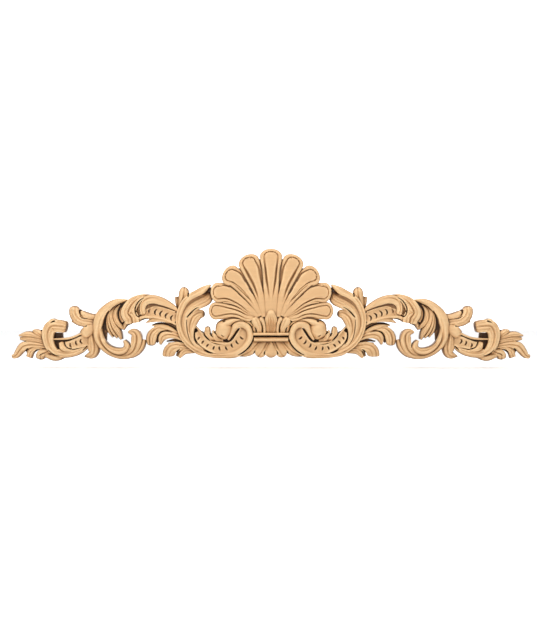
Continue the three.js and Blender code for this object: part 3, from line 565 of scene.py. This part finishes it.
# deep slits between the parts, each cut down to its floor
slits = [
    {"line": [[54.6, 58], [59, 51.6], [63.6, 45], [68, 39], [72.4, 35.8], [78, 34.6], [84.5, 37]],
     "width": [1.2, 2.2, 2.4, 2.6, 3, 3.2, 1], "floor": 9.5},
    {"line": [[19.6, 71.5], [16.2, 64], [14.8, 56.5], [14.6, 50.5]], "width": [0.8, 1.8, 2.2, 1.6],
     "floor": 12},
    {"line": [[9.4, 19.5], [11.2, 15.5], [12.2, 12]], "width": [0.8, 2.6, 2], "floor": 8},
    {"line": [[27.4, 19.5], [29.3, 15.8], [30.8, 12.4]], "width": [0.8, 2.6, 2], "floor": 8},
    {"line": [[79.5, 71], [82, 69.6], [84.8, 69]], "width": [1, 2.6, 1], "floor": 22},
    {"line": [[34, 71.5], [36.2, 68.4]], "width": [2, 2.8], "floor": 12},
    {"line": [[28.6, 60], [26.4, 55.5], [26, 51]], "width": [1, 2.4, 2.4], "floor": 14},
    {"line": [[30.5, 42], [33.5, 33], [38.5, 25.5], [44.5, 19.5], [51, 14.8], [58.5, 11.4]],
     "width": [1.6, 2.6, 2.8, 2.6, 2.4, 1], "floor": 6},
    {"line": [[102, 42.5], [105, 45.3], [107, 50]], "width": [0.8, 2.4, 2], "floor": 8},
    {"line": [[106.5, 35.5], [112, 40.5], [118, 47.3]], "width": [1, 3, 2.4], "floor": 8},
    {"line": [[101.5, 14.8], [106, 15], [112, 17], [119, 20.8]], "width": [1, 2.4, 2.4, 1],
     "floor": 10},
    {"line": [[95, 46.5], [97.5, 49.3], [101, 51.3]], "width": [1, 2.6, 0.8], "floor": 9},
    {"line": [[81, 42.8], [84, 43.8], [87, 46.4]], "width": [1, 2.2, 1], "floor": 24},
    {"line": [[147.8, 73], [147.6, 62], [146, 50], [142.4, 38], [136, 28]],
     "width": [1, 1.7, 1.8, 1.6, 0.8], "floor": 19.5},
    {"line": [[126, 95], [133, 91.2], [140, 85], [147.5, 76.5]], "width": [0.8, 2, 3, 1.6], "floor": 8},
    {"line": [[144.6, 119.5], [145.4, 112.5]], "width": [3.4, 3], "floor": 9},
    {"line": [[129, 29.5], [133, 36], [134.5, 46], [133.4, 57]], "width": [1, 2.6, 2.8, 2], "floor": 9},
    {"line": [[164, 52], [170, 58], [178, 62.6], [190, 66], [201, 66], [210, 63]],
     "width": [1.6, 2.8, 2.8, 2.8, 2.6, 1], "floor": 6},
    {"line": [[174, 50.8], [183, 52.6], [190, 52.2], [196, 48], [198.6, 41]],
     "width": [1, 1.6, 2, 2, 1], "floor": 13},
    {"line": [[152, 32], [158, 34.3], [166, 35.5], [174, 35]], "width": [1, 2.4, 2.4, 1], "floor": 6},
    {"line": [[160, 20.8], [163.5, 19], [166.5, 14.5], [169, 8]], "width": [1.4, 3, 3, 2.4],
     "floor": 6},
    {"line": [[222, 111], [229.5, 106], [235.5, 97.5], [237.6, 89], [235, 80], [230.5, 77.2]],
     "width": [1.4, 2, 2.4, 2.6, 2.2, 2], "floor": 12},
    {"line": [[226, 105], [230, 98.5], [230.8, 91], [229, 83.5]], "width": [1, 1.6, 1.6, 1],
     "floor": 16},
    {"line": [[216, 74.6], [221, 74.4], [228, 72.4]], "width": [1, 2.2, 1.6], "floor": 9},
    {"line": [[257.5, 100.8], [264, 96], [268.2, 88], [268.6, 79], [266, 70.5], [261.5, 65]],
     "width": [3, 4.4, 3.4, 3, 2.8, 2], "floor": 8.5},
    {"line": [[284, 88.5], [289, 80], [292.6, 68], [293.6, 56], [292.6, 46]],
     "width": [1.6, 3, 4.2, 4.4, 3], "floor": 7.5},
    {"line": [[246.2, 24.5], [247, 29.5], [251, 34.8]], "width": [2, 2.8, 1.2], "floor": 8},
    {"line": [[336.4, 89.6], [335.8, 84], [332.6, 78.6]], "width": [3.4, 2.8, 1.2], "floor": 10},
    {"line": [[321, 75.2], [326, 74.5], [331.5, 76.2], [335, 79.5]], "width": [0.8, 1.3, 1.5, 2],
     "floor": 19},
    {"line": [[322.5, 62.2], [327, 60.8]], "width": [2.6, 1], "floor": 10},
    {"line": [[333.5, 45.8], [342, 41.4], [352, 37.8], [362, 36.2], [378, 36.4]],
     "width": [1.6, 2, 2.2, 2.4, 2.4], "floor": 12},
    {"line": [[322, 27.5], [326, 23.5], [330.5, 19]], "width": [2, 2.2, 1], "floor": 8},
    {"line": [[349, 23], [356, 23.4], [360.6, 27.5], [362.6, 34.5]], "width": [1, 2, 2.2, 2.2],
     "floor": 12},
    {"line": [[378.8, 36], [377.6, 29], [374, 20.5]], "width": [4, 3.6, 1.4], "floor": 8},
    {"line": [[371, 9.6], [378, 11.2], [385, 15], [391, 20.8]], "width": [0.8, 1.6, 1.8, 1],
     "floor": 11},
    {"line": [[377.5, 70.6], [381.5, 69.6], [386, 67.4]], "width": [2.8, 2.6, 1], "floor": 15},
    {"line": [[426, 23.2], [430, 20.6], [432, 15], [432.4, 9]], "width": [1.4, 2.4, 2.4, 1.4],
     "floor": 6},
    {"line": [[406, 20.8], [412.6, 19.8], [416.8, 15.5], [418.6, 8.6]], "width": [1.4, 2.4, 2.4, 2],
     "floor": 6},
    {"line": [[429, 36], [433.5, 34.6]], "width": [1, 2.4], "floor": 10},
    {"line": [[397, 13.6], [403, 13], [407, 10]], "width": [0.8, 1.4, 0.8], "floor": 14},
]
for slit in slits:
    slit["form"] = "flat"
    slit["crest"] = [slit["floor"]]
    slit["step"] = 2
    applyBoolean(carving, strokeBlock(slit, "slit", inFront), "DIFFERENCE")
print("slits", len(carving.data.polygons), "faces")

# crescent gouges across the scroll channels, each through three points
gouges = [
    [[48.5, 39.5], [51.8, 40.6], [53.8, 43.8]], [[56.8, 31], [60, 33], [61, 37.2]],
    [[66.6, 25], [69, 27.6], [69.4, 31.4]], [[76.4, 20.4], [78.8, 23], [79.6, 26.4]],
    [[89, 19.8], [90.6, 22.6], [90.4, 26]], [[101, 20.4], [101, 23.4], [98.8, 26.4]],
    [[113, 25.2], [111.6, 28.2], [109, 29.8]], [[121, 30.8], [120.2, 33.6], [117.4, 36]],
    [[128.2, 37.6], [127.2, 40.4], [124.6, 42.4]], [[171.5, 79.4], [175.4, 76.6], [174, 71.4]],
    [[180, 83.6], [184.8, 80.4], [183.6, 75.4]], [[190, 87.6], [194.4, 83.4], [192.6, 78.8]],
    [[200, 90.2], [203.6, 86.2], [202, 81.4]], [[211, 91.4], [214, 87.2], [212.6, 83]],
    [[332.4, 38.4], [334.4, 35], [330.8, 31.8]], [[341.4, 35.8], [342.4, 32], [339.6, 28.6]],
    [[351.4, 31.6], [352.4, 28], [349.6, 25]],
]
# drill marks at the eyes of the leaves, by radius
drills = {
    1.5: [(36, 178), (9.5, 79.5), (15.2, 75.8), (24, 75.8), (160, 28)],
    0.8: [(88.5, 110.6), (99, 92.5), (9.2, 64), (9, 58.5), (9, 52), (429, 33), (313, 48)],
}


# height of the carving's surface above the back
def surfaceDepth(x, z):
    hit, where, normal, index = carving.ray_cast((x * mm, -0.1, (z - originHeight) * mm), (0, 1, 0))
    return -where.y / mm if hit else 0


for line in gouges:
    depth = surfaceDepth(*line[1])
    start, middle, end = (np.array(point) for point in line)
    chord = end - start
    bow = (start + end) / 2 - middle
    gouge = {"line": [middle + 0.6 * t * chord + t * t * bow for t in (-1, -0.5, 0, 0.5, 1)],
             "width": [1.6, 2.8, 3.4, 3, 1.4], "crest": [depth - down for down in (1, 3, 4, 3, 1)],
             "form": "flat", "step": 1}
    applyBoolean(carving, strokeBlock(gouge, "gouge", inFront), "DIFFERENCE")
for radius, places in drills.items():
    for x, z in places:
        clearSelection()
        bpy.ops.mesh.primitive_cone_add(vertices=10, radius1=0, radius2=radius * mm, depth=5 * mm)
        drill = bpy.context.object
        middle = surfaceDepth(x, z) - 0.4
        for v in drill.data.vertices:
            v.co.y, v.co.z = -v.co.z - middle * mm, v.co.y + (z - originHeight) * mm
            v.co.x += x * mm
        applyBoolean(carving, drill, "DIFFERENCE")
print("notched", len(carving.data.polygons), "faces")

# the left half mirrors the right one, then the strokes on the middle line are joined in
leftHalf = carving.copy()
leftHalf.data = carving.data.copy()
bpy.context.collection.objects.link(leftHalf)
leftHalf.data.transform(Matrix.Scale(-1, 4, (1, 0, 0)))
leftHalf.data.flip_normals()
applyBoolean(carving, leftHalf, "UNION")
for name, strokes in groups.items():
    for stroke in strokes:
        if stroke.get("centre"):
            applyBoolean(carving, strokeBlock(stroke, name), "UNION")

# the carving is brought to the size of the solid, with its back flat
low, high = (np.array(corner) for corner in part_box("carved_headpiece"))
co = np.empty(len(carving.data.vertices) * 3)
carving.data.vertices.foreach_get("co", co)
co = co.reshape(-1, 3)
co[:, 0] *= high[0] / co[:, 0].max()
co[:, 1] = np.minimum(co[:, 1] * low[1] / co[:, 1].min(), 0)
co[:, 2] = low[2] + (co[:, 2] - co[:, 2].min()) * (high[2] - low[2]) / np.ptp(co[:, 2])
carving.data.vertices.foreach_set("co", co.ravel())
carving.data.update()
print("both halves", len(carving.data.polygons), "faces")

# clean triangles, smooth except at sharp edges
clearSelection()
carving.select_set(True)
bpy.context.view_layer.objects.active = carving
bpy.ops.object.mode_set(mode="EDIT")
bpy.ops.mesh.select_all(action="SELECT")
bpy.ops.mesh.dissolve_degenerate(threshold=0.00002)
bpy.ops.mesh.quads_convert_to_tris(quad_method="BEAUTY", ngon_method="BEAUTY")
bpy.ops.object.mode_set(mode="OBJECT")
bpy.ops.object.shade_smooth_by_angle(angle=math.radians(38))
print("triangles", len(carving.data.polygons))

# how deep each point lies between its neighbours, for painted shade in valleys and painted highlight on
# crests
cell = 0.001
columns = int(high[0] / cell) + 1
rows = int((high[2] - low[2]) / cell) + 1
half = np.zeros((rows, columns))
for row in range(rows):
    for column in range(columns):
        start = ((column + 0.5) * cell, -0.1, low[2] + (row + 0.5) * cell)
        hit, where, normal, index = carving.ray_cast(start, (0, 1, 0))
        if hit:
            half[row, column] = -where.y
front = np.concatenate([half[:, ::-1], half], axis=1)
seen = (front > 0.0005).astype(float)


# mean over a square of cells, taken twice
def blurred(grid, reach):
    for axis in (0, 1):
        for again in range(2):
            padded = np.concatenate([np.zeros_like(np.take(grid, range(reach + 1), axis)), grid,
                                     np.zeros_like(np.take(grid, range(reach), axis))], axis)
            total = np.cumsum(padded, axis)
            size = grid.shape[axis]
            grid = (np.take(total, range(2 * reach + 1, 2 * reach + 1 + size), axis)
                    - np.take(total, range(0, size), axis)) / (2 * reach + 1)
    return grid


# value of a raster at the points, taken smoothly between its cells
def sampled(grid, x, z):
    fx = np.clip(x / cell + columns - 0.5, 0, 2 * columns - 1.001)
    fz = np.clip((z - low[2]) / cell - 0.5, 0, rows - 1.001)
    i, j = fx.astype(int), fz.astype(int)
    fx, fz = fx - i, fz - j
    lower = grid[j, i] * (1 - fx) + grid[j, i + 1] * fx
    upper = grid[j + 1, i] * (1 - fx) + grid[j + 1, i + 1] * fx
    return lower * (1 - fz) + upper * fz


count = len(carving.data.vertices)
co = np.empty(count * 3)
carving.data.vertices.foreach_get("co", co)
co = co.reshape(-1, 3)
# painted shade and highlight at a fine and a wide scale: reach, depth of full effect and weight of each
fineShadeScale = {"reach": 0.0024, "depth": 0.0024, "weight": 0.31}
wideShadeScale = {"reach": 0.006, "depth": 0.009, "weight": 0.3}
# painted shade on the walls, darker toward the back where they meet it
wallFootShade = 0.72
shadeAndHighlight = np.full(count, 0.5)
for kind in (fineShadeScale, wideShadeScale):
    step = max(1, round(kind["reach"] / cell))
    around = blurred(front, step) / np.maximum(blurred(seen, step), 0.05)
    below = sampled(around, co[:, 0], co[:, 2]) + co[:, 1]
    shadeAndHighlight += kind["weight"] * np.clip(below / kind["depth"], -1, 1)
shadeAndHighlight[co[:, 1] > -0.0005] = wallFootShade
# the painted shade and highlight are kept on the mesh as a point attribute
hollow = carving.data.attributes.new("shadeAndHighlight", "FLOAT", "POINT")
hollow.data.foreach_set("value", np.clip(shadeAndHighlight, 0, 1))
print("valleys", round(float(shadeAndHighlight.mean()), 3))

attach(carving, "root")
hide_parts("carved_headpiece")

# pale wood, linear colour: painted highlight on crests, painted shade in valleys, fine grain, slight
# waves
wood = {
    "paintedHighlight": (0.84, 0.57, 0.305),
    "middle": (0.72, 0.44, 0.215),
    "paintedShade": (0.36, 0.19, 0.08),
    "deep": (0.085, 0.042, 0.02),
    "grainAmount": 0.10,
    "grainStretch": (14, 160, 190),
    "waveScale": 22,
    "waveHeight": 0.0006,
    "waveStrength": 0.08,
    "roughness": 0.52,
    "specular": 0.35,
    "backTone": 0.42,
    "backPlane": -0.0003,
}

grain = bpy.data.node_groups.new("woodGrain", "ShaderNodeTree")
scale = grain.interface.new_socket(name="Scale", in_out="INPUT", socket_type="NodeSocketFloat")
scale.default_value = 1
for name in ("Grain", "Waves"):
    grain.interface.new_socket(name=name, in_out="OUTPUT", socket_type="NodeSocketFloat")
nodes, links = grain.nodes, grain.links
groupIn = nodes.new("NodeGroupInput")
groupOut = nodes.new("NodeGroupOutput")
place = nodes.new("ShaderNodeTexCoord")
stretch = nodes.new("ShaderNodeMapping")
stretch.inputs["Scale"].default_value = wood["grainStretch"]
lines = nodes.new("ShaderNodeTexNoise")
lines.inputs["Detail"].default_value = 5
lines.inputs["Roughness"].default_value = 0.6
waves = nodes.new("ShaderNodeTexNoise")
waves.inputs["Scale"].default_value = wood["waveScale"]
waves.inputs["Detail"].default_value = 3
links.new(place.outputs["Object"], stretch.inputs["Vector"])
links.new(stretch.outputs["Vector"], lines.inputs["Vector"])
links.new(groupIn.outputs["Scale"], lines.inputs["Scale"])
links.new(place.outputs["Object"], waves.inputs["Vector"])
links.new(lines.outputs["Fac"], groupOut.inputs["Grain"])
links.new(waves.outputs["Fac"], groupOut.inputs["Waves"])

material = bpy.data.materials.new("paleWood")
material.use_nodes = True
nodes, links = material.node_tree.nodes, material.node_tree.links
shader = nodes["Principled BSDF"]
shader.inputs["Roughness"].default_value = wood["roughness"]
shader.inputs["Specular IOR Level"].default_value = wood["specular"]
# reads the painted shade and highlight attribute
valleys = nodes.new("ShaderNodeAttribute")
valleys.attribute_name = "shadeAndHighlight"
place = nodes.new("ShaderNodeTexCoord")
split = nodes.new("ShaderNodeSeparateXYZ")
# on the flat back the painted shade gives way to one even tone
backPlane = nodes.new("ShaderNodeMath")
backPlane.operation = "GREATER_THAN"
backPlane.inputs[1].default_value = wood["backPlane"]
onBack = nodes.new("ShaderNodeMix")
onBack.data_type = "FLOAT"
onBack.inputs["B"].default_value = wood["backTone"]
# colour ramp from painted highlight through the wood's middle tone to painted shade, brown then near
# black
ramp = nodes.new("ShaderNodeValToRGB")
ramp.color_ramp.interpolation = "EASE"
stops = ramp.color_ramp.elements
stops[0].position = 0.28
stops[0].color = (*wood["paintedHighlight"], 1)
stops[1].position = 0.97
stops[1].color = (*wood["deep"], 1)
for position, name in ((0.50, "middle"), (0.70, "paintedShade")):
    stops.new(position).color = (*wood[name], 1)
grainNode = nodes.new("ShaderNodeGroup")
grainNode.node_tree = grain
toLight = nodes.new("ShaderNodeMapRange")
toLight.inputs["From Min"].default_value = 0.3
toLight.inputs["From Max"].default_value = 0.7
toLight.inputs["To Min"].default_value = 1 - wood["grainAmount"]
toLight.inputs["To Max"].default_value = 1.0
tone = nodes.new("ShaderNodeMix")
tone.data_type = "RGBA"
tone.blend_type = "MULTIPLY"
tone.inputs["Factor"].default_value = 1
links.new(valleys.outputs["Fac"], onBack.inputs["A"])
links.new(place.outputs["Object"], split.inputs["Vector"])
links.new(split.outputs["Y"], backPlane.inputs[0])
links.new(backPlane.outputs["Value"], onBack.inputs["Factor"])
links.new(onBack.outputs["Result"], ramp.inputs["Fac"])
links.new(grainNode.outputs["Grain"], toLight.inputs["Value"])
links.new(ramp.outputs["Color"], tone.inputs["A"])
links.new(toLight.outputs["Result"], tone.inputs["B"])
links.new(tone.outputs["Result"], shader.inputs["Base Color"])
bump = nodes.new("ShaderNodeBump")
bump.inputs["Strength"].default_value = wood["waveStrength"]
bump.inputs["Distance"].default_value = wood["waveHeight"]
links.new(grainNode.outputs["Waves"], bump.inputs["Height"])
links.new(bump.outputs["Normal"], shader.inputs["Normal"])
carving.data.materials.clear()
carving.data.materials.append(material)
print("wood made")

# pale floor a little under the carving, lengths in metres
floorDrop = 0.012
clearSelection()
bpy.ops.mesh.primitive_plane_add(size=8, location=(0, 0, low[2] - floorDrop))
floor = bpy.context.object
floor.name = "floor"
floorPaint = bpy.data.materials.new("floorPaint")
floorPaint.use_nodes = True
floorShader = floorPaint.node_tree.nodes["Principled BSDF"]
floorShader.inputs["Base Color"].default_value = (0.92, 0.92, 0.92, 1)
floorShader.inputs["Roughness"].default_value = 0.9
floor.data.materials.append(floorPaint)

# the world is bright behind the carving and soft in front of it, where the light has to model the forms
studio = {"inFront": 0.25, "behind": 1.75, "change": 0.25}
world = bpy.data.worlds.new("studio")
bpy.context.scene.world = world
world.use_nodes = True
nodes, links = world.node_tree.nodes, world.node_tree.links
background = nodes["Background"]
direction = nodes.new("ShaderNodeTexCoord")
split = nodes.new("ShaderNodeSeparateXYZ")
fall = nodes.new("ShaderNodeMapRange")
fall.inputs["From Min"].default_value = -studio["change"]
fall.inputs["From Max"].default_value = studio["change"]
fall.inputs["To Min"].default_value = studio["inFront"]
fall.inputs["To Max"].default_value = studio["behind"]
links.new(direction.outputs["Generated"], split.inputs["Vector"])
links.new(split.outputs["Y"], fall.inputs["Value"])
links.new(fall.outputs["Result"], background.inputs["Strength"])
background.inputs["Color"].default_value = (1, 1, 1, 1)

aimPoint = Vector((0, 0, 0.02))
lights = {
    "topLight": {"place": (-0.15, -0.75, 1.4), "size": 1.1, "power": 21},
    "frontLight": {"place": (-0.5, -2.2, 0.5), "size": 1.8, "power": 5},
}
for name, entry in lights.items():
    lamp = bpy.data.lights.new(name, "AREA")
    lamp.size = entry["size"]
    lamp.energy = entry["power"]
    holder = bpy.data.objects.new(name, lamp)
    holder.location = entry["place"]
    aim = aimPoint - holder.location
    holder.rotation_euler = aim.to_track_quat("-Z", "Y").to_euler()
    bpy.context.collection.objects.link(holder)

# camera straight on, as in the photo, and near enough to show the inner walls toward the ends
view = {"lens": 69, "place": (-0.0044, -2.1, 0.0175)}
cameraData = bpy.data.cameras.new("camera")
cameraData.lens = view["lens"]
camera = bpy.data.objects.new("camera", cameraData)
camera.location = view["place"]
camera.rotation_euler = (math.radians(90), 0, 0)
bpy.context.collection.objects.link(camera)
bpy.context.scene.camera = camera
bpy.context.scene.view_settings.view_transform = "Standard"

print("stage set")
